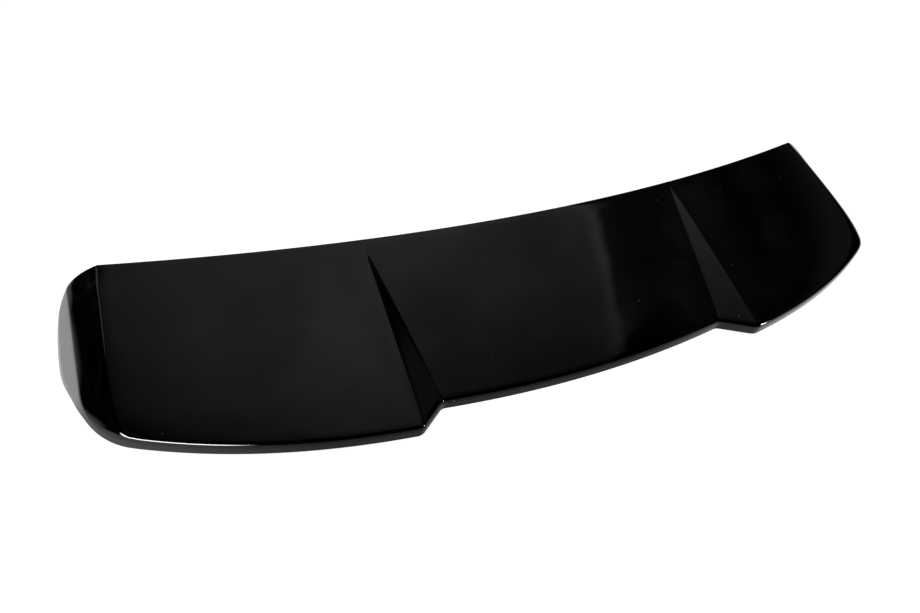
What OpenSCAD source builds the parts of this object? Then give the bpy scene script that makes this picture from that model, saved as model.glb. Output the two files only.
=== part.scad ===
// Rear roof spoiler, moulded as one thin gloss shell that is open underneath.
// It is a skin with a sunken middle, a shoulder at each end, and a rim wall that runs
// along the trailing edge as a low lip and round each end as a deeper wall.
// The shape is set out in the skin's own directions: x along the span, "back" from the
// front corners towards the trailing edge, z up from the front corners.

/* [Front edge] */
// Half the distance between the two shoulder folds at the front edge
fold_half = 520; // [440:5:600]
// How far the front edge sits further back in the middle than at the folds
front_bow = 47; // [20:1:70]
// How much higher the front edge is in the middle than at the folds
front_crown = 17; // [5:1:35]

/* [Trailing edge] */
// Distance back from the front corners to the outer sections' edge line, at mid span
chord = 284; // [250:1:320]
// How far that line comes forward at the folds, as a parabola
rear_bow = 47; // [25:1:65]
// Extra sweep of the same line, which only shows near the ends
rear_sweep = 35; // [10:1:50]
// Height of that line at mid span, below the front corners
rear_drop = 2; // [0:0.5:8]
// How much lower the line is at the folds than at mid span
rear_crown = 13; // [4:1:22]

/* [Sunken middle] */
// How far the middle section's edge is set forward of the outer line, at mid span
middle_recess = 28; // [12:1:40]
// How far the middle section's edge comes forward towards its corners
middle_bow = 76; // [40:1:100]
// How far the middle section's edge lies below the outer line
middle_drop = 15; // [6:0.5:22]
// Half width of the middle section at its edge
middle_half = 212; // [150:2:240]
// Half width between the outer corners of the two flat facets
facet_half = 254; // [245:2:320]
// Half distance between the two facets' points, near the front edge
apex_half = 236; // [200:2:300]
// How far back from the front edge the facets start
apex_back = 8; // [4:1:30]
// Width of a facet where it starts
apex_width = 2.4; // [1.5:0.1:6]
// Half width of the rounding along the facets' edges
crease_round = 1.3; // [0.5:0.1:2]
// Half width of the same rounding where the facets meet the trailing edge
corner_ease = 5; // [3:0.5:8]

/* [Ends] */
// Half width across the two end creases, level with the front corners
end_half = 551; // [540:1:640]
// Angle at which each end crease spreads outwards towards the back
end_flare = 9; // [0:0.5:14]
// Angle at which each fold line spreads outwards towards the back
fold_flare = 10.4; // [0:0.2:14]
// Angle at which each fold line falls towards the back
fold_fall = 3.9; // [1:0.1:8]
// Where the rounding of the rear corner starts, measured from mid span
corner_start = 534; // [505:1:540]
// How far back from the front corners the end creases start, as the front corner is rounded
corner_back = 7; // [3:0.5:14]
// Height of the end crease at the front corner, below the front corners of the skin
crease_drop_front = 22.5; // [12:0.5:32]
// Height of the end crease at the rear corner, below the front corners of the skin
crease_drop_rear = 29; // [24:0.5:40]
// How far out the shoulder keeps the skin's slope before it turns down
shoulder_ledge = 9; // [4:0.5:12]
// The same at the front corner, where the shoulder is rounded in a fuller curve
corner_ledge = 23; // [6:1:26]

/* [Rim wall] */
// Thickness of the moulded sheet
wall = 3; // [2:0.1:3.5]
// Depth of the lip along the trailing edge
lip_h = 14; // [12:0.5:24]
// Depth of the lip on the rear corners, where it is shallowest
corner_lip_h = 9; // [7:0.5:20]
// Greatest depth of the end walls
end_wall_h = 62; // [35:1:85]
// Depth of the end walls at the front corner
tip_h = 22; // [14:1:30]
// Distance from the front corner to where the end walls are deepest
deepest_at = 58; // [40:1:80]
// Distance from the front corner to where the end walls have run out into the lip
runs_out_at = 150; // [120:1:160]
// Draft angle at which the lip and the end walls spread outwards
draft = 9.7; // [2:0.1:14]
// Length of the rounding on either side of the lip's top edge
lip_round = 5; // [2:0.1:6]
// Length of the rounding on either side of the end creases
end_round = 2; // [1:0.1:3]
// Rise of the skin halfway along its chord, above a straight line
skin_crown = 1.5; // [0:0.1:4]

/* [Hidden] */

// number of steps that each stretch of the surface is divided into
middle_steps = 9;
crease_steps = 3;
outer_steps = 14;
shoulder_steps = 8;
chord_steps = 19;
wall_steps = 3;
bend_steps = 5;
// how far the rows across the chord bunch up towards the front edge, as a power
bunching = 1.3;
// how late the facets' rounding opens out, and the most of a facet's width that it may take
ease_opens = 24;
most_ease = 0.45;
// rounding that is left on the inner side of the bend where the sheet is too thick for more
least_round = 0.5;
// share of the rear corner's arc where the fold meets it, and where the end wall begins
fold_meets = 0.1;
corner_mid = 0.6;
// share of the same arc over which the edge falls to the level of the end crease
corner_fall = 0.65;
// how sharply the fold line bends into the rear corner
fold_hook = 6;
// slope of the shoulder's ledge, and its slope at the front corner
ledge_slope = 0.1;
corner_slope = 0.4;
// the most of the shoulder's width that the ledge may take up, and the share of the chord
// over which the fuller curve of the front corner fades
most_ledge = 0.8;
ledge_fades = 0.2;

// general helpers
function lerp(a, b, t) = a * (1 - t) + b * t;
function unit(v) = v / norm(v);
function smooth(t) = let (s = max(0, min(1, t))) s * s * (3 - 2 * s);
function at(x, back, z) = [x, -back, z];
function arch(x) = 1 - pow(x / fold_half, 2);
function bezier(a, b, c, t) = a * pow(1 - t, 2) + b * 2 * t * (1 - t) + c * pow(t, 2);

// edge lines of the skin, for the half with x above zero
function front_edge(x) = at(x, front_bow * arch(x), front_crown * arch(x));
function rear_back(x) =
    chord - rear_bow * pow(x / fold_half, 2) - rear_sweep * pow(x / fold_half, 4);
function rear_edge(x) = at(x, rear_back(x), -rear_drop - rear_crown * pow(x / fold_half, 2));
function middle_edge(x) =
    at(x, chord - middle_recess - middle_bow * pow(x / fold_half, 2), -rear_drop - middle_drop);
facet_in = middle_edge(middle_half);
facet_out = rear_edge(facet_half);

// rear corner: an arc that leaves the trailing edge at corner_start and ends on the end crease
trail_slope = -2 * rear_bow * corner_start / pow(fold_half, 2)
    - 4 * rear_sweep * pow(corner_start, 3) / pow(fold_half, 4);
corner_in = unit([trail_slope, -1]);
end_in = unit([-1, tan(end_flare)]);
corner_p = [corner_start, rear_back(corner_start)];
corner_r = (end_half + tan(end_flare) * corner_p.y - corner_p.x)
    / (corner_in.x - end_in.x - tan(end_flare) * (corner_in.y - end_in.y));
corner_c = corner_p + corner_r * corner_in;
corner_a0 = atan2(-corner_in.y, -corner_in.x);
corner_a1 = atan2(-end_in.y, -end_in.x);
end_p = corner_c - corner_r * end_in;
end_tip = [end_half + tan(end_flare) * corner_back, corner_back];

// outline of an end, from a point x on the trailing edge, round the corner, to the front;
// run is 0 to 1 on the trailing edge, 1 to 2 on the corner and 2 to 3 on the end crease
corner_h0 = rear_edge(corner_start).z;
function corner_xy(t) = let (a = lerp(corner_a0, corner_a1, t)) corner_c + corner_r * [cos(a), sin(a)];
function corner_z(t) = lerp(corner_h0, -crease_drop_rear, smooth(t / corner_fall));
function outline(run) =
    run <= 1 ? rear_edge(lerp(facet_half, corner_start, run))
    : run <= 2 ? at(corner_xy(run - 1).x, corner_xy(run - 1).y, corner_z(run - 1))
    : at(lerp(end_p.x, end_tip.x, run - 2), lerp(end_p.y, end_tip.y, run - 2),
         lerp(-crease_drop_rear, -crease_drop_front, run - 2));

// lengths of the three stretches, so that points on the outline are spaced evenly
trail_len = norm([corner_start - facet_half, rear_back(facet_half) - rear_back(corner_start)]);
corner_len = corner_r * (corner_a0 - corner_a1) * PI / 180;
end_len = norm(end_p - end_tip);
function run_at(len) =
    len <= trail_len ? len / trail_len
    : len <= trail_len + corner_len ? 1 + (len - trail_len) / corner_len
    : 2 + (len - trail_len - corner_len) / end_len;
fold_len = trail_len + fold_meets * corner_len;
mid_len = trail_len + corner_mid * corner_len;
full_len = trail_len + corner_len + end_len;

// lines that run from the front edge to the trailing edge, with t from 0 to 1
function crowned(p, t) = p + [0, 0, skin_crown * 4 * t * (1 - t)];
function line(a, b, t) = crowned(lerp(a, b, t), t);
apex_t = apex_back / (chord - front_bow);
apex_step = [apex_width, 0, 0];
apex = lerp(front_edge(apex_half), facet_out, apex_t) - apex_step;
function outer_crease(t) = line(front_edge(apex_half), facet_out, t);
function inner_crease(t) =
    t <= apex_t ? outer_crease(t) - apex_step
    : crowned(lerp(apex, facet_in, (t - apex_t) / (1 - apex_t)), t);
function centre_line(t) = line(front_edge(0), middle_edge(0), t);
fold_end = outline(run_at(fold_len));
fold_straight = front_edge(fold_half) - fold_end.y * [tan(fold_flare), -1, -tan(fold_fall)];
function fold_line(t) =
    line(front_edge(fold_half), fold_straight, t) + (fold_end - fold_straight) * pow(t, fold_hook);
function end_line(t) = outline(run_at(lerp(full_len, mid_len, t)));

// a patch between four edge lines, with u across and t from front to back
function patch(left, right, front, rear, u, t) =
    lerp(left(t), right(t), u) + lerp(front(u), rear(u), t)
    - lerp(lerp(left(0), right(0), u), lerp(left(1), right(1), u), t);

// the four kinds of patch on one half of the skin
function on_middle(u, t) = patch(
    function(t) centre_line(t), function(t) inner_crease(t),
    function(u) front_edge(u * (apex_half - apex_width)), function(u) middle_edge(u * middle_half), u, t);
function on_facet(u, t) = lerp(inner_crease(t), outer_crease(t), u);
function on_outer(u, t) = patch(
    function(t) outer_crease(t), function(t) fold_line(t),
    function(u) front_edge(lerp(apex_half, fold_half, u)), function(u) outline(run_at(u * fold_len)), u, t);

// the shoulder keeps the skin's slope over the ledge, then turns down to the end crease
function on_shoulder(u, t) =
    let (
        inner = fold_line(t),
        outer = end_line(t),
        fade = smooth(t / ledge_fades),
        out = min(lerp(corner_ledge, shoulder_ledge, fade), most_ledge * norm(outer - inner)),
        ledge = inner + out * [1, 0, -lerp(corner_slope, ledge_slope, fade)]
    )
    t >= 1 ? outline(run_at(lerp(fold_len, mid_len, u))) : bezier(inner, ledge, outer, u);

// columns of one half, from mid span outwards, as [stretch, share of it], and the rows
columns = [
    for (i = [0:middle_steps - 1]) ["middle", i / middle_steps],
    for (i = [0:crease_steps]) ["inner crease", i / crease_steps],
    for (i = [0:crease_steps]) ["outer crease", i / crease_steps],
    for (i = [1:outer_steps]) ["outer", i / outer_steps],
    for (i = [1:shoulder_steps]) ["shoulder", i / shoulder_steps]
];
rows = [0, for (i = [0:chord_steps]) lerp(apex_t, 1, pow(i / chord_steps, bunching))];
last_col = len(columns) - 1;
last_row = len(rows) - 1;

// the facets' edges are rounded from a point just before the crease to one just after it
function ease_at(t, width) =
    min(lerp(crease_round, corner_ease, pow(t, ease_opens)), most_ease * width);
function on_crease(t, inner_side, u) =
    let (
        inner = inner_crease(t),
        outer = outer_crease(t),
        width = norm(outer - inner),
        ease = ease_at(t, width)
    )
    inner_side
        ? bezier(on_middle(1 - ease / norm(inner - centre_line(t)), t), inner, on_facet(ease / width, t), u)
        : bezier(on_facet(1 - ease / width, t), outer, on_outer(ease / norm(fold_line(t) - outer), t), u);

function on_half(row, col) =
    let (stretch = columns[col][0], u = columns[col][1], t = rows[row])
    stretch == "middle" ? on_middle(u, t)
    : stretch == "inner crease" ? on_crease(t, true, u)
    : stretch == "outer crease" ? on_crease(t, false, u)
    : stretch == "outer" ? on_outer(u, t)
    : on_shoulder(u, t);
half = [for (r = [0:last_row]) [for (c = [0:last_col]) on_half(r, c)]];
function mirrored(p, side) = [side * p.x, p.y, p.z];

// edge of the skin, in the order it runs: back along one end, along the trailing edge and
// forward along the other end
edge_half = [
    each half[last_row],
    for (r = [last_row - 1:-1:0]) half[r][last_col]
];
// neighbour of each edge point inside the skin
inside_half = [
    for (c = [0:last_col]) half[last_row - 1][min(c, last_col - 1)],
    for (r = [last_row - 1:-1:0]) half[r][last_col - 1]
];
mid_k = len(edge_half) - 1;
path_n = 2 * mid_k + 1;
function along(list, k) = mirrored(list[abs(k - mid_k)], k < mid_k ? -1 : 1);
edge = [for (k = [0:path_n - 1]) along(edge_half, k)];
inside = [for (k = [0:path_n - 1]) along(inside_half, k)];

// depth of the end walls, by the distance from the front corner: it rises in a quarter
// ellipse to the deepest point, then runs out smoothly into the lip
end_wall_len = full_len - mid_len;
function depth_at(d) =
    d < deepest_at ? lerp(tip_h, end_wall_h, sqrt(1 - pow(1 - d / deepest_at, 2)))
    : lerp(end_wall_h, corner_lip_h, smooth((d - deepest_at) / (runs_out_at - deepest_at)));
function wall_h(k) =
    let (i = abs(k - mid_k))
    i > last_col ? depth_at(end_wall_len * rows[mid_k - i])
    : lerp(depth_at(end_wall_len), lip_h, smooth((last_col - i) / shoulder_steps));

// directions at each edge point: along the edge, into the skin and down the wall
function next_edge(k) = edge[min(k + 1, path_n - 1)] - edge[max(k - 1, 0)];
tangent = [for (k = [0:path_n - 1]) unit(next_edge(k))];
skin_dir = [for (k = [0:path_n - 1]) unit(inside[k] - edge[k])];
wall_dir = [
    for (k = [0:path_n - 1])
        let (d = tangent[k]) unit(tan(draft) * unit([d.y, -d.x, 0]) - [0, 0, 1])
];

// inner side of the bend, a mitre: where it is, and how much of the rounding is left there
skin_normal = [for (k = [0:path_n - 1]) unit(cross(skin_dir[k], tangent[k]))];
wall_normal = [for (k = [0:path_n - 1]) unit(cross(tangent[k], wall_dir[k]))];
function mitre(a, b) = (a + b) / (1 + a * b);
function half_turn(a, b) = norm(a - b) / norm(a + b);
round_out = [
    for (k = [0:path_n - 1])
        let (s = smooth((abs(k - mid_k) - last_col + shoulder_steps) / shoulder_steps))
        lerp(lip_round, end_round, s)
];
round_in = [
    for (k = [0:path_n - 1])
        max(least_round, round_out[k] - wall * half_turn(skin_normal[k], wall_normal[k]))
];
edge_back = [for (k = [0:path_n - 1]) edge[k] + wall * mitre(skin_normal[k], wall_normal[k])];

// one section of the rim at edge point k, from the skin round the bend and down the wall
ladder_n = bend_steps + wall_steps;
function rim_point(corner, turn, foot, k, m) =
    let (a = corner + turn * skin_dir[k], b = corner + turn * wall_dir[k])
    m <= bend_steps
        ? bezier(a, corner, b, m / bend_steps)
        : lerp(b, foot, (m - bend_steps) / wall_steps);
function foot(k) = edge[k] + wall_h(k) / -wall_dir[k].z * wall_dir[k];
rim_face = [
    for (m = [0:ladder_n])
        [for (k = [0:path_n - 1]) rim_point(edge[k], round_out[k], foot(k), k, m)]
];
rim_back = [
    for (m = [0:ladder_n])
        [for (k = [0:path_n - 1])
            rim_point(edge_back[k], round_in[k], foot(k) + wall * wall_normal[k], k, m)]
];

// outer face of the skin, on both halves, whose border is the top of the rim's bend
cols_n = 2 * last_col + 1;
function path_of(r, c) =
    c == 0 ? r
    : c == cols_n - 1 ? path_n - 1 - r
    : r == last_row ? last_row + c
    : -1;
skin_face = [
    for (r = [0:last_row]) [
        for (c = [0:cols_n - 1])
            let (k = path_of(r, c))
            k >= 0 ? rim_face[0][k] : mirrored(half[r][abs(c - last_col)], c < last_col ? -1 : 1)
    ]
];

// inner face of the skin: each point moved in by the wall, square to the cells round it
function moved_in(p, ring) =
    let (
        normals = [for (i = [0:len(ring) - 2]) unit(cross(ring[i] - p, ring[i + 1] - p))],
        mean = [for (n = normals) 1] * normals / len(normals)
    )
    p + wall * mean / (mean * mean);
function ring_of(r, c) = [
    skin_face[r][c + 1],
    skin_face[r + 1][c],
    skin_face[r][c - 1],
    if (r > 0) each [skin_face[r - 1][c], skin_face[r][c + 1]]
];
skin_back = [
    for (r = [0:last_row]) [
        for (c = [0:cols_n - 1])
            let (k = path_of(r, c))
            k >= 0 ? rim_back[0][k]
            : moved_in(skin_face[r][c], ring_of(r, c))
    ]
];

// all points in one list, and where each group starts in it
function flat(grid) = [for (row = grid) for (p = row) p];
function tail(list) = [for (i = [1:len(list) - 1]) list[i]];
shell_points = concat(flat(skin_face), flat(tail(rim_face)), flat(skin_back), flat(tail(rim_back)));
face_n = len(shell_points) / 2;
function skin_id(r, c) = r * cols_n + c;
function rim_id(m, k) =
    m > 0 ? (last_row + 1) * cols_n + (m - 1) * path_n + k
    : k <= last_row ? skin_id(k, 0)
    : k < last_row + cols_n ? skin_id(last_row, k - last_row)
    : skin_id(path_n - 1 - k, cols_n - 1);

// each four-cornered cell becomes two triangles, split alike on both halves of the span
function cell(a, b, c, d, left) = left ? [[a, b, d], [b, c, d]] : [[a, b, c], [a, c, d]];
outer_cells = [
    for (r = [0:last_row - 1]) for (c = [0:cols_n - 2])
        each cell(skin_id(r, c), skin_id(r, c + 1), skin_id(r + 1, c + 1), skin_id(r + 1, c), c < last_col),
    for (m = [0:ladder_n - 1]) for (k = [0:path_n - 2])
        each cell(rim_id(m, k), rim_id(m, k + 1), rim_id(m + 1, k + 1), rim_id(m + 1, k), k < mid_k)
];
inner_cells = [for (f = outer_cells) [f[0] + face_n, f[2] + face_n, f[1] + face_n]];

// trimmed edge that joins the two faces: the rim, both ends of it and the front edge
trim = [
    for (m = [0:ladder_n - 1]) rim_id(m, 0),
    for (k = [0:path_n - 1]) rim_id(ladder_n, k),
    for (m = [ladder_n - 1:-1:0]) rim_id(m, path_n - 1),
    for (c = [cols_n - 2:-1:1]) skin_id(0, c)
];
trim_cells = [
    for (i = [0:len(trim) - 1])
        let (a = trim[i], b = trim[(i + 1) % len(trim)])
        each cell(a, b, b + face_n, a + face_n, false)
];

// how the part lies: on the rims of both end walls and on the lip at mid span
lip_foot = foot(mid_k);
rake = max([
    for (k = [0:last_row - 1])
        atan2(lip_foot.z - foot(k).z, foot(k).y - lip_foot.y)
]);
function laid(p) = [p.x, p.y * cos(rake) - p.z * sin(rake), p.y * sin(rake) + p.z * cos(rake)];
laid_points = [for (p = shell_points) laid(p)];
low = [for (i = [0:2]) min([for (p = laid_points) p[i]])];
high = [for (i = [0:2]) max([for (p = laid_points) p[i]])];

module spoiler_shell() {
    color([0.03, 0.03, 0.035])
        translate([0, -(low.y + high.y) / 2, -low.z])
            rotate([rake, 0, 0])
                polyhedron(points = shell_points, faces = concat(outer_cells, inner_cells, trim_cells),
                           convexity = 6);
}

spoiler_shell();
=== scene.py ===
# %% [markdown]
# # Gloss black roof spoiler
# A rear roof spoiler is one thin moulded shell, painted gloss black on the outside and left as
# plain plastic underneath. It could be cut out of the part's own coarse mesh, but gloss paint
# shows every facet, so the shell is lofted again here from the same named edge lines, with a
# finer grid over which reflections run smoothly.

import bmesh
import bpy
import math
import numpy as np
from mathutils import Matrix, Vector


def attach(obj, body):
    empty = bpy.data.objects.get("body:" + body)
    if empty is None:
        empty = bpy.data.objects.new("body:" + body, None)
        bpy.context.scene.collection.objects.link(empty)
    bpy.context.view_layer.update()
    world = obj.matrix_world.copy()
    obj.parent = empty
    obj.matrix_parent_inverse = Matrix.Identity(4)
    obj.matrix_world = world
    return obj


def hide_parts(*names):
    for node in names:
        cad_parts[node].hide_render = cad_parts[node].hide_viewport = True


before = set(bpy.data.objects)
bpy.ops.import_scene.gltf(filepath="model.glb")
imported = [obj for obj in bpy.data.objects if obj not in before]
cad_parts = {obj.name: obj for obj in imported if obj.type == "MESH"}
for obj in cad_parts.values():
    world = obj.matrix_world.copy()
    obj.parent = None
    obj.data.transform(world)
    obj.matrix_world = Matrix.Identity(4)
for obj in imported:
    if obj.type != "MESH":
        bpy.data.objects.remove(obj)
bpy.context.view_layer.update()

# %% [markdown]
# ## Sizes
# The sizes are those of the part's source, in millimetres. x runs along the span, c is the
# distance back from the front corners and n is the height above them. Keeping them as named
# values means that a change of the part is repeated here in one place.

# %% Front edge, trailing edge and sunken middle
MM = 0.001
FOLD_HALF = 520.0  # half span, out to the soft fold near each end
FRONT_BOW = 47.0
FRONT_CROWN = 17.0
CHORD = 284.0
REAR_BOW = 47.0
REAR_SWEEP = 35.0
REAR_DROP = 2.0
REAR_CROWN = 13.0
SKIN_CROWN = 1.5
MIDDLE_HALF = 212.0
MIDDLE_RECESS = 28.0
MIDDLE_BOW = 76.0
MIDDLE_DROP = 15.0
FACET_HALF = 254.0
APEX_HALF = 236.0  # where a facet starts, near the front edge
APEX_BACK = 8.0
APEX_WIDTH = 2.4
CREASE_ROUND = 1.3  # half width of the rounding along a facet's edge
CORNER_EASE = 5.0  # and where that edge reaches the lip
print("sheet in the middle:", CHORD - MIDDLE_RECESS - FRONT_BOW, "mm from front to rear")

# %% [markdown]
# ## Sizes of the ends
# Each end flares out, turns down over a fold into a narrow shoulder and stops in a wall. These
# sizes stand apart from the first ones, since they shape the ends alone and can be tried out there.

# %% Ends, shoulders and rim wall
END_HALF = 551.0
END_FLARE = math.radians(9)
CORNER_START = 534.0
CORNER_BACK = 7.0
FOLD_FLARE = math.radians(10.4)
FOLD_FALL = math.radians(3.9)
FOLD_HOOK = 6.0
CREASE_DROP_FRONT = 22.5
CREASE_DROP_REAR = 29.0
SHOULDER_LEDGE = 9.0
CORNER_LEDGE = 23.0
LEDGE_SLOPE = 0.1
CORNER_SLOPE = 0.4
MOST_LEDGE = 0.8
LEDGE_FADES = 0.2
FOLD_MEETS = 0.1  # share of the corner at which the fold reaches the outline
CORNER_MID = 0.6  # share of the corner at which the lip becomes the end wall
CORNER_FALL = 0.65
WALL = 3.0
LIP_H = 14.0
CORNER_LIP_H = 9.0
END_WALL_H = 62.0
TIP_H = 22.0
DEEPEST_AT = 58.0
RUNS_OUT_AT = 150.0
DRAFT = math.radians(9.7)
LIP_ROUND = 5.0
END_ROUND = 2.0
LEAST_ROUND = 0.5
print("span over the folds:", 2 * FOLD_HALF, "mm, sheet:", WALL, "mm")

# %% [markdown]
# ## Edge lines
# On the real part the edges are curves on the mould. Each one is a small formula here: the front
# and trailing edges are bowed and crowned, and the middle section's edge is set forward and down.
# A formula keeps a long curve fair, which points placed by hand would not. Points are (x, c, n).

# %% Small helpers and the long edges
def point(x, c, n):
    return np.array([x, c, n], dtype=float)


def smooth(t):
    t = min(1.0, max(0.0, t))
    return t * t * (3 - 2 * t)


def lerp(a, b, t):
    return a * (1 - t) + b * t


def unit(v):
    return v / np.linalg.norm(v)


def bezier(a, b, c, t):
    return a * (1 - t) ** 2 + b * 2 * t * (1 - t) + c * t * t


def front_edge(x):
    arch = 1 - (x / FOLD_HALF) ** 2
    return point(x, FRONT_BOW * arch, FRONT_CROWN * arch)


def rear_back(x):
    s = x / FOLD_HALF
    return CHORD - REAR_BOW * s**2 - REAR_SWEEP * s**4


def rear_edge(x):
    return point(x, rear_back(x), -REAR_DROP - REAR_CROWN * (x / FOLD_HALF) ** 2)


def middle_edge(x):
    back = CHORD - MIDDLE_RECESS - MIDDLE_BOW * (x / FOLD_HALF) ** 2
    return point(x, back, -REAR_DROP - MIDDLE_DROP)


facet_in = middle_edge(MIDDLE_HALF)
facet_out = rear_edge(FACET_HALF)
print("facet's rear edge:", round(float(np.linalg.norm(facet_out - facet_in)), 1), "mm")

# %% [markdown]
# ## Outline of an end
# The trailing edge runs into each end through one round corner. The corner is an arc that touches
# both lines, so its radius follows from where they are, and no kink is left at either side of it.

# %% Arc of the rear corner
trail_slope = -2 * REAR_BOW * CORNER_START / FOLD_HALF**2 - 4 * REAR_SWEEP * CORNER_START**3 / FOLD_HALF**4
corner_in = unit(np.array([trail_slope, -1.0]))
end_in = unit(np.array([-1.0, math.tan(END_FLARE)]))
corner_p = np.array([CORNER_START, rear_back(CORNER_START)])
corner_r = (END_HALF + math.tan(END_FLARE) * corner_p[1] - corner_p[0]) / (
    corner_in[0] - end_in[0] - math.tan(END_FLARE) * (corner_in[1] - end_in[1])
)
corner_c = corner_p + corner_r * corner_in
corner_a0 = math.atan2(-corner_in[1], -corner_in[0])
corner_a1 = math.atan2(-end_in[1], -end_in[0])
end_p = corner_c - corner_r * end_in
end_tip = np.array([END_HALF + math.tan(END_FLARE) * CORNER_BACK, CORNER_BACK])
corner_h0 = rear_edge(CORNER_START)[2]
print("corner radius:", round(corner_r, 1), "mm")

# %% [markdown]
# ## Walking along the outline
# Skin, shoulder and rim all meet at the outline, so it is one line that can be walked by its length.
# Equal steps in length keep the grid even round the corner, which equal angles would not.

# %% Outline and its lengths
def outline(run):
    """The outline of an end: run 0 to 1 is the trailing edge, 1 to 2 the corner, 2 to 3 the end."""
    if run <= 1:
        return rear_edge(lerp(FACET_HALF, CORNER_START, run))
    if run <= 2:
        angle = lerp(corner_a0, corner_a1, run - 1)
        x, c = corner_c + corner_r * np.array([math.cos(angle), math.sin(angle)])
        return point(x, c, lerp(corner_h0, -CREASE_DROP_REAR, smooth((run - 1) / CORNER_FALL)))
    x, c = lerp(end_p, end_tip, run - 2)
    return point(x, c, lerp(-CREASE_DROP_REAR, -CREASE_DROP_FRONT, run - 2))


trail_len = math.hypot(CORNER_START - FACET_HALF, rear_back(FACET_HALF) - rear_back(CORNER_START))
corner_len = corner_r * (corner_a0 - corner_a1)
end_len = float(np.linalg.norm(end_p - end_tip))
fold_len = trail_len + FOLD_MEETS * corner_len
mid_len = trail_len + CORNER_MID * corner_len
full_len = trail_len + corner_len + end_len


def run_at(length):
    if length <= trail_len:
        return length / trail_len
    if length <= trail_len + corner_len:
        return 1 + (length - trail_len) / corner_len
    return 2 + (length - trail_len - corner_len) / end_len


print("outline of one end:", round(full_len, 1), "mm")

# %% [markdown]
# ## Skin
# Four kinds of patch make one half of the skin: the sunken middle, the flat facet, the outer
# section and the shoulder. Each is blended between its four edge lines, as sheet is drawn over
# a frame. One patch for the whole skin couldn't hold the sharp edges of the facets.

# %% Lines inside the skin
def crowned(p, t):
    return p + point(0, 0, SKIN_CROWN * 4 * t * (1 - t))


apex_t = APEX_BACK / (CHORD - FRONT_BOW)
apex_step = point(APEX_WIDTH, 0, 0)
apex = lerp(front_edge(APEX_HALF), facet_out, apex_t) - apex_step


def outer_crease(t):
    return crowned(lerp(front_edge(APEX_HALF), facet_out, t), t)


def inner_crease(t):
    if t <= apex_t:
        return outer_crease(t) - apex_step
    return crowned(lerp(apex, facet_in, (t - apex_t) / (1 - apex_t)), t)


def centre_line(t):
    return crowned(lerp(front_edge(0), middle_edge(0), t), t)


fold_end = outline(run_at(fold_len))
fold_straight = front_edge(FOLD_HALF) + fold_end[1] * point(math.tan(FOLD_FLARE), 1, -math.tan(FOLD_FALL))


def fold_line(t):
    line = crowned(lerp(front_edge(FOLD_HALF), fold_straight, t), t)
    return line + (fold_end - fold_straight) * t**FOLD_HOOK


def end_line(t):
    return outline(run_at(lerp(full_len, mid_len, t)))


print("facets start", round(apex_t * (CHORD - FRONT_BOW), 1), "mm behind the front edge")

# %% [markdown]
# ## Patches of the skin
# A patch takes its two side lines and its front and rear lines, adds the two blends and takes off
# the corners, which would otherwise count twice. The flat facet needs only its two side lines, and
# the shoulder is a small curve from the fold out to the end.

# %% Patches between the lines
def patch(left, right, front, rear, u, t):
    corners = lerp(lerp(left(0), right(0), u), lerp(left(1), right(1), u), t)
    return lerp(left(t), right(t), u) + lerp(front(u), rear(u), t) - corners


def on_middle(u, t):
    return patch(centre_line, inner_crease, lambda v: front_edge(v * (APEX_HALF - APEX_WIDTH)),
                 lambda v: middle_edge(v * MIDDLE_HALF), u, t)


def on_facet(u, t):
    return lerp(inner_crease(t), outer_crease(t), u)


def on_outer(u, t):
    return patch(outer_crease, fold_line, lambda v: front_edge(lerp(APEX_HALF, FOLD_HALF, v)),
                 lambda v: outline(run_at(v * fold_len)), u, t)


def on_shoulder(u, t):
    if t >= 1:
        return outline(run_at(lerp(fold_len, mid_len, u)))
    inner, outer = fold_line(t), end_line(t)
    fade = smooth(t / LEDGE_FADES)
    out = min(lerp(CORNER_LEDGE, SHOULDER_LEDGE, fade), MOST_LEDGE * np.linalg.norm(outer - inner))
    return bezier(inner, inner + out * point(1, 0, -lerp(CORNER_SLOPE, LEDGE_SLOPE, fade)), outer, u)


print("middle of the skin:", [round(float(v), 1) for v in on_middle(0, 0.5)], "mm")

# %% [markdown]
# ## Grid lines
# Columns run from the middle of the span outwards, and rows from the front edge to the trailing
# edge. A moulding's edges are never knife sharp, so next to the facets the columns stand close
# together and follow a small curve, which catches a thin line of light as the real edge does.

# %% Columns, rows and the points of one half
EASE_STEPS = (0.0, 1 / 3, 2 / 3, 1.0)
EASE_OPENS = 24  # the rounding stays narrow until close to the lip
MOST_EASE = 0.45  # share of the facet's width that one rounding may take
MIDDLE_STEPS = 22
MIDDLE_ENDS = 0.985
OUTER_STEPS = 27
OUTER_STARTS = 0.035
CHORD_STEPS = 37
CHORD_ENDS = 0.955
columns = [("middle", u) for u in np.linspace(0, MIDDLE_ENDS, MIDDLE_STEPS + 1)[:-1]]
columns += [("crease_in", s) for s in EASE_STEPS]
columns += [("facet", u) for u in (0.2, 0.5, 0.8)]
columns += [("crease_out", s) for s in EASE_STEPS]
columns += [("outer", u) for u in np.linspace(OUTER_STARTS, 1, OUTER_STEPS + 1)]
columns += [("shoulder", u) for u in (0.08, 0.16, 0.24, 0.32, 0.4, 0.48, 0.56, 0.64, 0.72, 0.8, 0.88, 1.0)]
rows = [0.0] + list(np.linspace(apex_t, CHORD_ENDS, CHORD_STEPS + 1)) + [1.0]
last_col = len(columns) - 1
last_row = len(rows) - 1


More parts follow.
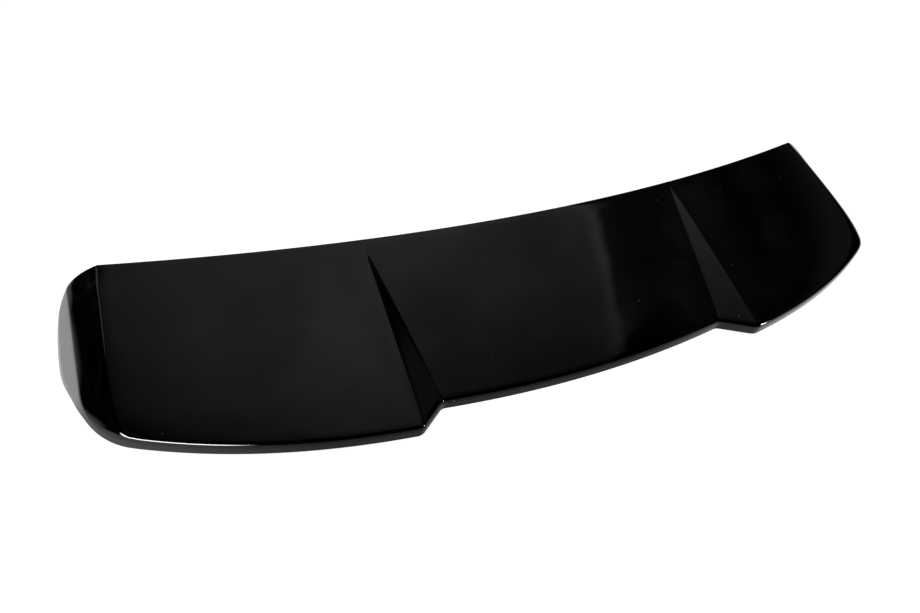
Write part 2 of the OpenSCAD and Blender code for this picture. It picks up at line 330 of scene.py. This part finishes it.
def on_half(t, column):
    kind, u = column
    if kind == "middle":
        return on_middle(u, t)
    if kind == "outer":
        return on_outer(u, t)
    if kind == "shoulder":
        return on_shoulder(u, t)
    width = np.linalg.norm(outer_crease(t) - inner_crease(t))
    ease = min(lerp(CREASE_ROUND, CORNER_EASE, t**EASE_OPENS), MOST_EASE * width)
    if kind == "crease_in":
        reach = ease / np.linalg.norm(inner_crease(t) - centre_line(t))
        return bezier(on_middle(1 - reach, t), inner_crease(t), on_facet(ease / width, t), u)
    if kind == "crease_out":
        reach = ease / np.linalg.norm(fold_line(t) - outer_crease(t))
        return bezier(on_facet(1 - ease / width, t), outer_crease(t), on_outer(reach, t), u)
    return on_facet(lerp(ease / width, 1 - ease / width, u), t)


half = np.array([[on_half(t, column) for column in columns] for t in rows])
print("skin grid of one half:", half.shape[0], "rows of", half.shape[1], "points")

# %% [markdown]
# ## Rim wall
# The rim wall stiffens the sheet and hides its edge from behind. It goes up one end, along the
# trailing edge and down the other end: a low lip at the back and a deeper rounded wall at each
# end. Its section is a rounded bend and then a drafted wall, made alike at every edge point.

# %% Depth of the wall along the rim
BEND_STEPS = 5
WALL_STEPS = 5


def both_sides(values):
    flipped = [v * np.array([-1, 1, 1]) for v in values[:0:-1]]
    return np.array(flipped + list(values))


edge = both_sides([half[last_row, c] for c in range(last_col + 1)]
                  + [half[r, last_col] for r in range(last_row - 1, -1, -1)])
inside = both_sides([half[last_row - 1, min(c, last_col - 1)] for c in range(last_col + 1)]
                    + [half[r, last_col - 1] for r in range(last_row - 1, -1, -1)])
path_n = len(edge)
mid_k = path_n // 2
shoulder_n = sum(kind == "shoulder" for kind, u in columns)
end_wall_len = full_len - mid_len


def depth_at(d):
    if d < DEEPEST_AT:
        return lerp(TIP_H, END_WALL_H, math.sqrt(1 - (1 - d / DEEPEST_AT) ** 2))
    return lerp(END_WALL_H, CORNER_LIP_H, smooth((d - DEEPEST_AT) / (RUNS_OUT_AT - DEEPEST_AT)))


def wall_h(k):
    i = abs(k - mid_k)
    if i > last_col:
        return depth_at(end_wall_len * rows[mid_k - i])
    return lerp(depth_at(end_wall_len), LIP_H, smooth((last_col - i) / shoulder_n))


print("rim wall:", path_n, "sections, deepest", round(max(wall_h(k) for k in range(path_n)), 1), "mm")

# %% [markdown]
# ## Section of the rim
# Sheet of even thickness has an inner bend that is tighter than the outer one. The inner side is
# therefore moved in along the mitre of the two faces, with what is left of the rounding.

# %% Directions and rounding at each edge point
def facing(a, b):
    """Cross product in (x, c, n), whose c axis points against the part's Y axis."""
    return -unit(np.cross(a, b))


tangent = np.array([unit(edge[min(k + 1, path_n - 1)] - edge[max(k - 1, 0)]) for k in range(path_n)])
skin_dir = np.array([unit(inside[k] - edge[k]) for k in range(path_n)])
outwards = [unit(np.array([-d[1], d[0], 0])) for d in tangent]
wall_dir = np.array([unit(math.tan(DRAFT) * out - np.array([0, 0, 1])) for out in outwards])
skin_normal = np.array([facing(a, b) for a, b in zip(skin_dir, tangent)])
wall_normal = np.array([facing(a, b) for a, b in zip(tangent, wall_dir)])
mitre = np.array([(a + b) / (1 + a @ b) for a, b in zip(skin_normal, wall_normal)])
half_turn = np.array([
    np.linalg.norm(a - b) / np.linalg.norm(a + b) for a, b in zip(skin_normal, wall_normal)
])
round_out = np.array([
    lerp(LIP_ROUND, END_ROUND, smooth((abs(k - mid_k) - last_col + shoulder_n) / shoulder_n))
    for k in range(path_n)
])
round_in = np.maximum(LEAST_ROUND, round_out - WALL * half_turn)
foot = np.array([edge[k] + wall_h(k) / -wall_dir[k][2] * wall_dir[k] for k in range(path_n)])


def rim_point(k, m, inner):
    """Point m of the section at edge point k: 0 is on the skin, the last one is the foot."""
    corner = edge[k] + WALL * mitre[k] * inner
    turn = round_in[k] if inner else round_out[k]
    a = corner + turn * skin_dir[k]
    b = corner + turn * wall_dir[k]
    end = foot[k] + WALL * wall_normal[k] * inner
    if m <= BEND_STEPS:
        return bezier(a, corner, b, m / BEND_STEPS)
    return lerp(b, end, (m - BEND_STEPS) / WALL_STEPS)


print("inner rounding:", round(float(min(round_in)), 1), "to", round(float(max(round_in)), 1), "mm")

# %% [markdown]
# ## Laying it down
# Put down on a table, the shell rests on both end walls and on the lip in the middle, so it leans
# back. The lean is measured from the feet of the wall and not set by eye.

# %% Lean
lip_foot = foot[mid_k]
lean = max(math.atan2(lip_foot[2] - p[2], lip_foot[1] - p[1]) for p in foot[:last_row])
print("lean:", round(math.degrees(lean), 2), "degrees")


def laid(p):
    y = -p[1] * math.cos(lean) - p[2] * math.sin(lean)
    z = -p[1] * math.sin(lean) + p[2] * math.cos(lean)
    return np.array([p[0], y, z])


# %% [markdown]
# ## Outer face
# A plain grid is made by the mesh operator, and each of its points is noted for its place on the
# skin. The rim wall is then pulled out of its border, ring after ring, as extruded edges, which
# keeps skin and wall one sheet without a seam.

# %% Grid and extruded rim
columns_n = 2 * last_col + 1


def path_of(r, c):
    """The number of the edge point at a border point of the grid, or None away from the border."""
    if c == 0:
        return r
    if c == columns_n - 1:
        return path_n - 1 - r
    return last_row + c if r == last_row else None


def next_point(v, among):
    return next(e.other_vert(v) for e in v.link_edges if e.other_vert(v) in among)


bm = bmesh.new()
bmesh.ops.create_grid(bm, x_segments=columns_n - 1, y_segments=last_row, size=1.0)
where = {}
border = {}
for v in bm.verts:
    c = round((v.co.x + 1) / 2 * (columns_n - 1))
    r = round((1 - v.co.y) / 2 * last_row)
    k = path_of(r, c)
    where[v] = ("skin", r, c) if k is None else ("rim", k, 0)
    if k is not None:
        border[k] = v
ring = [border[k] for k in range(path_n)]
for m in range(1, BEND_STEPS + WALL_STEPS + 1):
    edges = [bm.edges.get(pair) for pair in zip(ring, ring[1:])]
    pulled = bmesh.ops.extrude_edge_only(bm, edges=edges)["geom"]
    new_points = {v for v in pulled if isinstance(v, bmesh.types.BMVert)}
    ring = [next_point(v, new_points) for v in ring]
    for k, v in enumerate(ring):
        where[v] = ("rim", k, m)
print("outer face:", len(bm.verts), "points,", len(bm.faces), "faces")

# %% [markdown]
# ## Inner face
# The inner face is a copy of the outer one, turned over and moved in by the sheet's thickness,
# square to the faces round each point. A plain thickness modifier would thin the sheet at the
# tight bend of the rim, so each point is placed by itself.

# %% Places of the points
def skin_point(r, c):
    p = half[r, abs(c - last_col)]
    return p * np.array([-1, 1, 1]) if c < last_col else p


def grid_point(r, c):
    k = path_of(r, c)
    return skin_point(r, c) if k is None else rim_point(k, 0, 0)


grid = {(r, c): grid_point(r, c) for r in range(last_row + 1) for c in range(columns_n)}


def moved_in(r, c):
    """Skin point moved in by the wall, square to the cells round it."""
    p = grid[r, c]
    around = [grid[r, c + 1], grid[r + 1, c], grid[r, c - 1]]
    if r > 0:
        around += [grid[r - 1, c], grid[r, c + 1]]
    mean = np.mean([facing(a - p, b - p) for a, b in zip(around, around[1:])], axis=0)
    return p + WALL * mean / (mean @ mean)


def place_of(v, inner):
    name, a, b = where[v]
    if name == "rim":
        return Vector(laid(rim_point(a, b, inner))) * MM
    return Vector(laid(moved_in(a, b) if inner else grid[a, b])) * MM


twin = bmesh.ops.duplicate(bm, geom=list(bm.verts) + list(bm.edges) + list(bm.faces))
for v in where:
    twin["vert_map"][v].co = place_of(v, 1)
    v.co = place_of(v, 0)
inner_faces = [f for f in twin["geom"] if isinstance(f, bmesh.types.BMFace)]
bmesh.ops.reverse_faces(bm, faces=inner_faces)
for f in inner_faces:
    f.material_index = 1
print("both faces:", len(bm.verts), "points")

# %% [markdown]
# ## Trimmed edge
# A strip of faces bridges the two faces along the trimmed edge. A bevel of half a millimetre
# breaks that edge, as a hand sander does after trimming, so that it shows a thin light line.

# %% Bridge, bevel and finished mesh
EDGE_BREAK = 0.5
SHARP_TRIM = math.radians(60)
SMOOTH_UP_TO = math.radians(32)
open_edges = [e for e in bm.edges if e.is_boundary]
trim_faces = bmesh.ops.bridge_loops(bm, edges=open_edges)["faces"]
for f in trim_faces:
    f.material_index = 1
bmesh.ops.recalc_face_normals(bm, faces=bm.faces)
low_z = min(v.co.z for v in bm.verts)
mid_y = (min(v.co.y for v in bm.verts) + max(v.co.y for v in bm.verts)) / 2
bmesh.ops.translate(bm, verts=bm.verts, vec=(0, -mid_y, -low_z))
print("shift:", round(-mid_y / MM, 2), round(-low_z / MM, 2), "mm")
print("closed:", all(e.is_manifold for e in bm.edges))
trim_edges = {e for f in trim_faces for e in f.edges}
sharp = [e for e in bm.edges if e in trim_edges and e.calc_face_angle(0) > SHARP_TRIM]
bmesh.ops.bevel(bm, geom=sharp, offset=EDGE_BREAK * MM, segments=2, profile=0.5, affect="EDGES",
                clamp_overlap=True, material=-1)
mesh = bpy.data.meshes.new("shell")
bm.to_mesh(mesh)
bm.free()
mesh.polygons.foreach_set("use_smooth", [True] * len(mesh.polygons))
mesh.set_sharp_from_angle(angle=SMOOTH_UP_TO)
shell = bpy.data.objects.new("shell", mesh)
bpy.context.collection.objects.link(shell)
print("shell:", len(mesh.vertices), "points,", sum(len(p.vertices) - 2 for p in mesh.polygons), "triangles")

# %% [markdown]
# ## Mixing finishes
# Every finish below is mixed from the same few nodes. A small recipe class adds and joins them,
# so that each finish reads as a short list of steps instead of a page of links.

# %% Recipe
class Recipe:
    """A node tree, with short ways to add the nodes that the finishes need."""

    def __init__(self, tree):
        self.nodes = tree.nodes
        self.links = tree.links
        self.coords = self.add("TexCoord")

    def add(self, kind, **links):
        node = self.nodes.new("ShaderNode" + kind)
        for name, value in links.items():
            self.put(value, node.inputs[name])
        return node

    def put(self, value, socket):
        if isinstance(value, bpy.types.NodeSocket):
            self.links.new(value, socket)
        else:
            socket.default_value = value

    def noise(self, vector, scale, detail):
        return self.add("TexNoise", Vector=vector, Scale=scale, Detail=detail).outputs["Fac"]

    def math(self, operation, *values):
        node = self.add("Math")
        node.operation = operation
        for value, socket in zip(values, node.inputs):
            self.put(value, socket)
        return node.outputs[0]

    def times(self, first, *others):
        for other in others:
            first = self.math("MULTIPLY", first, other)
        return first

    def rise(self, value, low, high, to_low=0.0, to_high=1.0):
        """A soft change from one level to another while the value goes from low to high."""
        node = self.add("MapRange", Value=value)
        node.interpolation_type = "SMOOTHSTEP"
        for name, number in zip(("From Min", "From Max", "To Min", "To Max"), (low, high, to_low, to_high)):
            node.inputs[name].default_value = number
        return node.outputs["Result"]

    def length(self, vector):
        node = self.add("VectorMath")
        node.operation = "LENGTH"
        self.put(vector, node.inputs[0])
        return node.outputs["Value"]

    def sides(self, vector):
        node = self.add("SeparateXYZ", Vector=vector)
        return node.outputs["X"], node.outputs["Y"], node.outputs["Z"]


print("recipe steps:", [name for name in vars(Recipe) if not name.startswith("_")])

# %% [markdown]
# ## Starting a finish
# A new material comes with a plain shader, which suits paint and plastic. The lit cloths round the
# shell need a glow in its place, so that is a helper of its own.

# %% New finish and shine
def new_finish(name):
    """A material, its recipe, its plain shader and its place coordinates."""
    material = bpy.data.materials.new(name)
    material.use_nodes = True
    recipe = Recipe(material.node_tree)
    return material, recipe, recipe.nodes["Principled BSDF"], recipe.coords.outputs["Object"]


def shine(recipe, strength):
    """Turn a material into a lit surface."""
    glow = recipe.add("Emission", Strength=strength)
    recipe.put(glow.outputs[0], recipe.nodes["Material Output"].inputs["Surface"])


print("finishes to mix: paint, plastic, white sweep, soft panel, two lit cloths and the room")

# %% [markdown]
# ## Gloss black paint
# The outside is sprayed gloss black and clear coated. The paint itself is nearly black, so what
# is seen on it is the coat's reflection of the room. A thin uneven film of dust, short wipe
# marks, fine specks and one paler spot painted on the left shoulder keep it from looking like glass.

# %% Dust film, wipe marks, specks and the pale spot
PALE_SPOT_AT = (-0.5307, 0.1069, 0.0946)
PALE_SPOT_SIZE = (0.011, 0.0035, 0.012)
PALE_SPOT_TURN = (0, math.radians(-28), math.radians(10))
WIPED_TURN = (0, 0, math.radians(28))
WIPED_STRETCH = (5.0, 42.0, 5.0)
paint, recipe, shader, place = new_finish("gloss_black_paint")
film = recipe.rise(recipe.noise(place, 8.5, 5.0), 0.5, 0.85)
wiped = recipe.add("Mapping", Vector=place, Rotation=WIPED_TURN, Scale=WIPED_STRETCH)
wipes = recipe.rise(recipe.noise(wiped.outputs["Vector"], 1.0, 2.0), 0.66, 0.8)
dots = recipe.add("TexVoronoi", Vector=place, Scale=32.0)
specks = recipe.rise(dots.outputs["Distance"], 0.022, 0.034, 1.0, 0.0)
# one paler spot on the left shoulder, which lifts the colour only
spot = recipe.add("Mapping", Vector=place, Location=PALE_SPOT_AT, Rotation=PALE_SPOT_TURN, Scale=PALE_SPOT_SIZE)
spot.vector_type = "TEXTURE"
pale_spot = recipe.rise(recipe.length(spot.outputs["Vector"]), 0.3, 1.0, 0.7, 0.0)
print("paint: film, wipes, specks and a spot of", round(2000 * PALE_SPOT_SIZE[0]), "mm")

# %% [markdown]
# ## What the marks do to the paint
# Dust scatters a little light and dulls the gloss, so the film, wipes and specks lift both the colour
# and the roughness, and the pale spot lifts the colour alone. The lift is small, since the real coat
# is still as deep as a mirror.

# %% Colour and roughness of the paint
PAINT_TONE = 0.0002
MARK_TONE = 0.0045
dust_and_pale_spot = recipe.math("MULTIPLY_ADD", wipes, 0.35, film)
dust_and_pale_spot = recipe.math("ADD", dust_and_pale_spot, pale_spot)
dust_and_pale_spot = recipe.math("MULTIPLY_ADD", specks, 12.0, dust_and_pale_spot)
tone = recipe.math("MULTIPLY_ADD", dust_and_pale_spot, MARK_TONE, PAINT_TONE)
grey = recipe.add("CombineColor", Red=tone, Green=tone, Blue=tone)
recipe.put(grey.outputs["Color"], shader.inputs["Base Color"])
haze = recipe.math("MULTIPLY_ADD", film, 0.035, 0.035)
haze = recipe.math("MULTIPLY_ADD", wipes, 0.05, haze)
haze = recipe.math("MULTIPLY_ADD", specks, 0.4, haze)
recipe.put(haze, shader.inputs["Roughness"])
shader.inputs["IOR"].default_value = 1.5
print("paint mixed:", len(recipe.nodes), "nodes")

# %% [markdown]
# ## Plain underside
# The inner face keeps the finish of the moulded sheet: dark grey, half matt, with a fine even
# grain from the tool and slightly lighter where it has rubbed. The grain is a bump and not real
# relief, since it is only a tenth of a millimetre deep.

# %% Grain, tone and roughness of the plastic
GRAIN_DEPTH = 0.0002


def ramp(recipe, value, low, high, low_color, high_color):
    node = recipe.add("ValToRGB", Fac=value)
    for element, position, color in zip(node.color_ramp.elements, (low, high), (low_color, high_color)):
        element.position = position
        element.color = (*color, 1)
    return node.outputs["Color"]


plastic, recipe, shader, place = new_finish("moulded_plastic")
grain = recipe.noise(place, 900.0, 2.0)
patches = recipe.noise(place, 14.0, 4.0)
tone = ramp(recipe, patches, 0.35, 0.7, (0.012, 0.012, 0.0125), (0.019, 0.019, 0.02))
rough = ramp(recipe, patches, 0.3, 0.7, (0.42, 0.42, 0.42), (0.56, 0.56, 0.56))
bump = recipe.add("Bump", Strength=0.12, Distance=GRAIN_DEPTH, Height=grain)
recipe.put(tone, shader.inputs["Base Color"])
recipe.put(rough, shader.inputs["Roughness"])
recipe.put(bump.outputs["Normal"], shader.inputs["Normal"])
print("plastic mixed:", len(recipe.nodes), "nodes")

# %% [markdown]
# ## Handing the shell over
# The mesh takes the paint on its outer face and the plastic on its inner face and trimmed edge.
# It then stands in for the part's own node and rides on its one body.

# %% Finishes on the shell
mesh.materials.append(paint)
mesh.materials.append(plastic)
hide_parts("spoiler_shell")
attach(shell, "root")
print("finishes:", [material.name for material in mesh.materials])

# %% [markdown]
# ## Camera
# The camera was worked out from the photograph: a 40 mm lens from the left and above, a little
# rolled, which puts the span's vanishing point and both ends where the photograph has them.

# %% Camera
CAMERA_AT = (-0.73648, -0.70562, 0.82022)
CAMERA_TURN = (49.2458, -11.5193, -30.5261)
camera_data = bpy.data.cameras.new("camera")
camera_data.sensor_width = 36.0
camera_data.lens = 40.0
camera_data.clip_end = 60.0
camera = bpy.data.objects.new("camera", camera_data)
camera.location = CAMERA_AT
camera.rotation_euler = tuple(math.radians(a) for a in CAMERA_TURN)
bpy.context.collection.objects.link(camera)
bpy.context.scene.camera = camera
print("camera", round(camera.location.length, 2), "m from the middle of the table")

# %% [markdown]
# ## Table top
# A white sweep fills the picture, as in a catalogue photograph, and keeps the shell's soft
# shadow. The camera sees it a little brighter than the lamps make it, and so does the paint
# towards the two ends of the shell, where the end walls and the lip mirror it: that added glow is
# a painted reflection, and its dim middle is painted shade on the lip. From below it is clear,
# so that the underside can be looked at.

# %% Floor mesh
FLOOR_HALF = 14.0
FLOOR_GAP = 0.0005


def flat_sheet(name, half_x, half_y):
    """A flat rectangle that faces up."""
    sheet = bpy.data.meshes.new(name)
    bm = bmesh.new()
    bmesh.ops.create_grid(bm, x_segments=1, y_segments=1, size=1.0)
    bmesh.ops.scale(bm, verts=bm.verts, vec=(half_x, half_y, 1))
    bm.to_mesh(sheet)
    bm.free()
    return bpy.data.objects.new(name, sheet)


floor = flat_sheet("floor", FLOOR_HALF, FLOOR_HALF)
floor.data.transform(Matrix.Translation((0, 0, -FLOOR_GAP)))
bpy.context.collection.objects.link(floor)
print("floor:", 2 * FLOOR_HALF, "m square")

# %% [markdown]
# ## White of the sweep
# The sweep is a matt grey that the lamps light, with a glow added for two kinds of ray. Rays from
# the camera see it white, and whiter with distance, so that no horizon shows. Rays from the paint
# see a glow that starts beside the shell's middle and is full beyond its ends, a painted
# reflection whose dark middle is painted shade where the lip stands close to the table.

# %% Floor finish
SWEEP_GREY = 0.42
NEAR_WHITE, FAR_WHITE = 0.9, 1.0
NEAR_AT, FAR_AT = 0.9, 3.0
GLOW_SHIFT = 0.13
GLOW_STARTS, GLOW_FULL = 0.2, 0.5
GLOW_LEVEL = 0.66
white, recipe, shader, place = new_finish("white_sweep")
shader.inputs["Base Color"].default_value = (SWEEP_GREY, SWEEP_GREY, SWEEP_GREY, 1)
shader.inputs["Roughness"].default_value = 0.9
shader.inputs["Specular IOR Level"].default_value = 0.0
path = recipe.add("LightPath")
distance = recipe.add("MapRange", Value=recipe.length(place))
limits = {"From Min": NEAR_AT, "From Max": FAR_AT, "To Min": NEAR_WHITE, "To Max": FAR_WHITE}
for name, number in limits.items():
    distance.inputs[name].default_value = number
to_camera = recipe.times(path.outputs["Is Camera Ray"], distance.outputs["Result"])
# painted reflection: the paint sees the sweep glow only away from the shell's middle, which leaves painted
# shade on the middle of the lip
along = recipe.math("ABSOLUTE", recipe.math("ADD", recipe.sides(place)[0], GLOW_SHIFT))
painted_reflection = recipe.rise(along, GLOW_STARTS, GLOW_FULL, 0.0, GLOW_LEVEL)
added = recipe.math("MULTIPLY_ADD", path.outputs["Is Glossy Ray"], painted_reflection, to_camera)
glow = recipe.add("Emission", Strength=added)
lit = recipe.add("AddShader")
recipe.put(shader.outputs[0], lit.inputs[0])
recipe.put(glow.outputs[0], lit.inputs[1])
one_sided = recipe.add("MixShader", Fac=recipe.add("NewGeometry").outputs["Backfacing"])
recipe.put(lit.outputs[0], one_sided.inputs[1])
recipe.put(recipe.add("BsdfTransparent").outputs[0], one_sided.inputs[2])
recipe.put(one_sided.outputs[0], recipe.nodes["Material Output"].inputs["Surface"])
floor.data.materials.append(white)
print("sweep mixed:", len(recipe.nodes), "nodes")

# %% [markdown]
# ## Soft panel
# Gloss black shows only what stands round it, so the light is built as things to be mirrored. One
# wide cloth hangs over the table and shows as the grey sheen on the left two thirds of the skin.
# It fades towards the camera and ends in a wavy edge with a light rim. Beyond it the ceiling is
# almost dark, with a black gable that shows near the lip.

# %% Panel mesh and its coordinates
PANEL_HALF_X, PANEL_HALF_Y = 3.75, 1.9
PANEL_AT = (1.6, 0.0, 2.5)
panel = flat_sheet("panel", PANEL_HALF_X, PANEL_HALF_Y)
panel.data.transform(Matrix.Translation(PANEL_AT))
panel.data.flip_normals()
bpy.context.collection.objects.link(panel)
panel.visible_camera = False
soft, recipe, shader, place = new_finish("soft_panel")
x, y = recipe.sides(place)[:2]
clouds = recipe.noise(place, 2.2, 5.0)
wave = recipe.noise(place, 1.6, 3.0)
print("panel:", 2 * PANEL_HALF_X, "by", 2 * PANEL_HALF_Y, "m, hung at", PANEL_AT[2], "m")

# %% [markdown]
# ## Sheen
# The bright part of the cloth is a product of soft changes: it fades in from the left and from the
# camera's side, and stops at a line that noise makes wavy, with the rim just before it. A narrow
# seam further left is what the left fold mirrors as its thin line.

# %% Sheen with its rim
WAVE = 0.22
SHEEN_END = 2.12
SEAM_AT = (-1.3, -1.2)
sheen_x = recipe.math("MULTIPLY_ADD", y, 0.06, x)
sheen_x = recipe.math("MULTIPLY_ADD", wave, WAVE, sheen_x)
sheen_x = recipe.math("ADD", sheen_x, -WAVE / 2)
rim = recipe.times(recipe.rise(sheen_x, 1.97, 2.04), recipe.rise(sheen_x, 2.06, SHEEN_END, 1.0, 0.0))
sheen = recipe.times(
    recipe.rise(x, -1.5, 1.0),
    recipe.rise(y, -1.7, 0.65),
    recipe.rise(x, 1.0, 1.8, 1.0, 0.68),
    recipe.math("MULTIPLY_ADD", rim, 0.35, 1.0),
    recipe.rise(sheen_x, 2.06, SHEEN_END, 1.0, 0.0),
    recipe.rise(clouds, 0.3, 0.7, 0.76, 1.14),
)
seam = recipe.times(
    recipe.rise(x, -1.55, SEAM_AT[0]),
    recipe.rise(x, SEAM_AT[1], -1.0, 1.5, 0.0),
    recipe.rise(y, 0.3, 0.6, 0.1, 1.0),
)
print("sheen ends at x =", SHEEN_END, "m; seam from x =", SEAM_AT[0], "to", SEAM_AT[1], "m")

# %% [markdown]
# ## Ceiling and gable
# Past the sheen the skin mirrors a ceiling that is almost dark, and close to the lip a black gable.
# Its two slopes are straight lines, and the lower one at each x is its edge, so a minimum is enough
# to draw it. Real cloths would have to be cut and hung for the same effect.

# %% Dim ceiling with its black gable
GABLE_RISE, GABLE_LEFT = 0.6, 2.42
GABLE_FALL, GABLE_RIGHT = 1.25, 2.552
PANEL_LEVEL = 0.46
ceiling = recipe.times(
    recipe.rise(sheen_x, 2.1, 2.3, 0.13, 0.06),
    recipe.rise(x, 2.95, 3.35, 1.0, 0.25),
)
ceiling = recipe.math("ADD", ceiling, recipe.rise(x, 3.75, 4.5, 0.0, 0.11))
rising = recipe.math("MULTIPLY_ADD", x, GABLE_RISE, -GABLE_RISE * GABLE_LEFT)
falling = recipe.math("MULTIPLY_ADD", x, -GABLE_FALL, GABLE_FALL * GABLE_RIGHT)
gable = recipe.math("MINIMUM", recipe.math("MINIMUM", rising, falling), 0.0)
inward = recipe.math("SUBTRACT", y, gable)
ceiling = recipe.times(ceiling, recipe.rise(inward, -0.68, -0.63), recipe.rise(sheen_x, 1.95, 2.05))
level = recipe.math("ADD", recipe.math("ADD", sheen, seam), ceiling)
shine(recipe, recipe.times(level, PANEL_LEVEL))
panel.data.materials.append(soft)
print("panel mixed:", len(recipe.nodes), "nodes")

# %% [markdown]
# ## Soft boxes
# Two lit cloths are seen only as reflections. A long low strip draws the white line along the
# left half of the lip. A small one on the right draws the glints at the facets' corners.

# %% Strip and spark
def aimed(thing, place, aim):
    thing.location = place
    thing.rotation_euler = (Vector(aim) - thing.location).to_track_quat("-Z", "Y").to_euler()
    bpy.context.collection.objects.link(thing)


def soft_box(name, place, aim, width, height, strength, even):
    """A lit cloth, even up to a share of its half sides, that is only seen as a reflection."""
    box = flat_sheet(name, width / 2, height / 2)
    aimed(box, place, aim)
    box.visible_camera = box.visible_diffuse = box.visible_shadow = False
    cloth, recipe, shader, spot = new_finish(name + "_cloth")
    level = strength
    for side, half_side in zip(recipe.sides(spot), (width / 2, height / 2)):
        fade = recipe.rise(recipe.math("ABSOLUTE", side), even * half_side, half_side, 1.0, 0.0)
        level = recipe.times(fade, level)
    shine(recipe, level)
    box.data.materials.append(cloth)
    print(name, "of", width, "by", height, "m")


soft_box("strip", (-1.7, -1.85, 0.72), (-0.4, -0.2, 0.03), 2.5, 0.7, 34.0, 0.7)
soft_box("spark", (2.06, -1.33, 0.56), (0.2, -0.1, 0.03), 0.15, 0.34, 110.0, 0.8)

# %% [markdown]
# ## Fill lamp
# The dust and the plain underside are matt and show no reflections. A wide lamp behind the camera
# lights them and gives the shell its shadow. It is kept out of the paint, where it would show as
# a white square.

# %% Fill lamp
FILL_SIDE = 1.4
FILL_WATTS = 42.0
fill_data = bpy.data.lights.new("fill", "AREA")
fill_data.size = FILL_SIDE
fill_data.energy = FILL_WATTS
fill = bpy.data.objects.new("fill", fill_data)
aimed(fill, (-1.3, -1.0, 1.7), (0, 0, 0))
fill.visible_glossy = False
print("fill lamp:", FILL_WATTS, "W")

# %% [markdown]
# ## Room
# The room is nearly dark, with a few dim patches that keep the paint from going dead black. A low
# bright band on the far side gives the front corner and grazing views a light edge. The camera
# sees plain white instead.

# %% Room
BAND_LEVEL = 0.8
world = bpy.data.worlds.new("room")
bpy.context.scene.world = world
world.use_nodes = True
recipe = Recipe(world.node_tree)
room = recipe.nodes["Background"]
room.inputs["Color"].default_value = (1, 1, 1, 1)
around = recipe.coords.outputs["Generated"]
x, y, z = recipe.sides(around)
band = recipe.times(recipe.rise(z, 0.1, 0.28, BAND_LEVEL, 0.0), recipe.rise(y, -0.1, 0.15))
dim = recipe.rise(recipe.noise(around, 4.0, 4.0), 0.46, 0.78, 0.002, 0.06)
seen = recipe.add("LightPath").outputs["Is Camera Ray"]
recipe.put(recipe.math("MAXIMUM", recipe.math("ADD", dim, band), seen), room.inputs["Strength"])
bpy.context.scene.view_settings.view_transform = "Standard"
print("room mixed:", len(recipe.nodes), "nodes")

# %% [markdown]
# ## Finish
